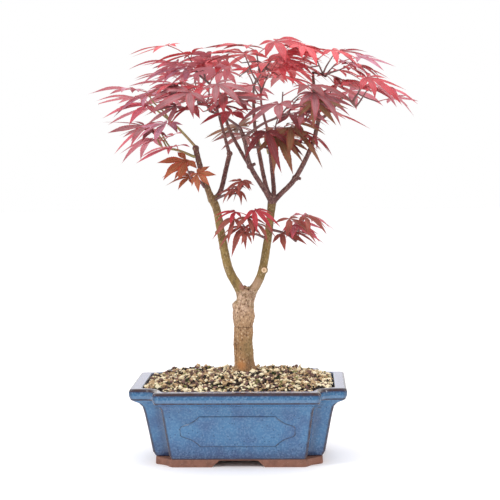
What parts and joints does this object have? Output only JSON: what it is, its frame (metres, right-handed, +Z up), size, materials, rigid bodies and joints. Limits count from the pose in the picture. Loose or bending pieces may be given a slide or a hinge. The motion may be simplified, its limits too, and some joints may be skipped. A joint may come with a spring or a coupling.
{
  "type": "potted japanese maple bonsai",
  "caption": "Japanese maple bonsai with a short forked trunk, slender boughs and a wide flat crown of red palmate leaves, in a blue glazed rectangular pot with notched corners.",
  "frame": {"origin": "on the ground, under the middle of the whole plant's width and depth", "axes": "+Z up; the pot's long front, with its raised panel, faces -Y; +X is to the right of a viewer in front"},
  "size_m": [0.3361, 0.2729, 0.4375],
  "materials": {
    "glaze": "gloss",
    "soil": "matte",
    "trunk_bark": "matte",
    "bough_bark": "matte",
    "twig_bark": "satin",
    "leaves": "matte"
  },
  "bodies": {
    "root": {"pot": "glaze", "soil": "soil", "trunk": "trunk_bark", "left_bough": "bough_bark", "left_bough_upper": "bough_bark", "left_inner_bough": "twig_bark", "left_inner_twig": "twig_bark", "right_bough": "bough_bark", "right_outer_bough": "twig_bark", "right_front_bough": "twig_bark", "crossing_bough": "twig_bark", "centre_bough": "twig_bark", "back_bough": "twig_bark", "right_rising_twig": "twig_bark", "right_reaching_twig": "twig_bark", "left_low_foliage": "leaves", "left_high_foliage": "leaves", "upper_left_foliage": "leaves", "top_foliage": "leaves", "right_top_foliage": "leaves", "right_foliage": "leaves", "front_left_foliage": "leaves", "front_right_foliage": "leaves", "centre_foliage": "leaves", "back_left_foliage": "leaves", "back_foliage": "leaves", "back_right_foliage": "leaves", "back_low_foliage": "leaves", "low_left_sprig": "leaves", "low_middle_sprig": "leaves", "low_right_sprig": "leaves", "left_node_sprig": "leaves"}
  },
  "joints": []
}
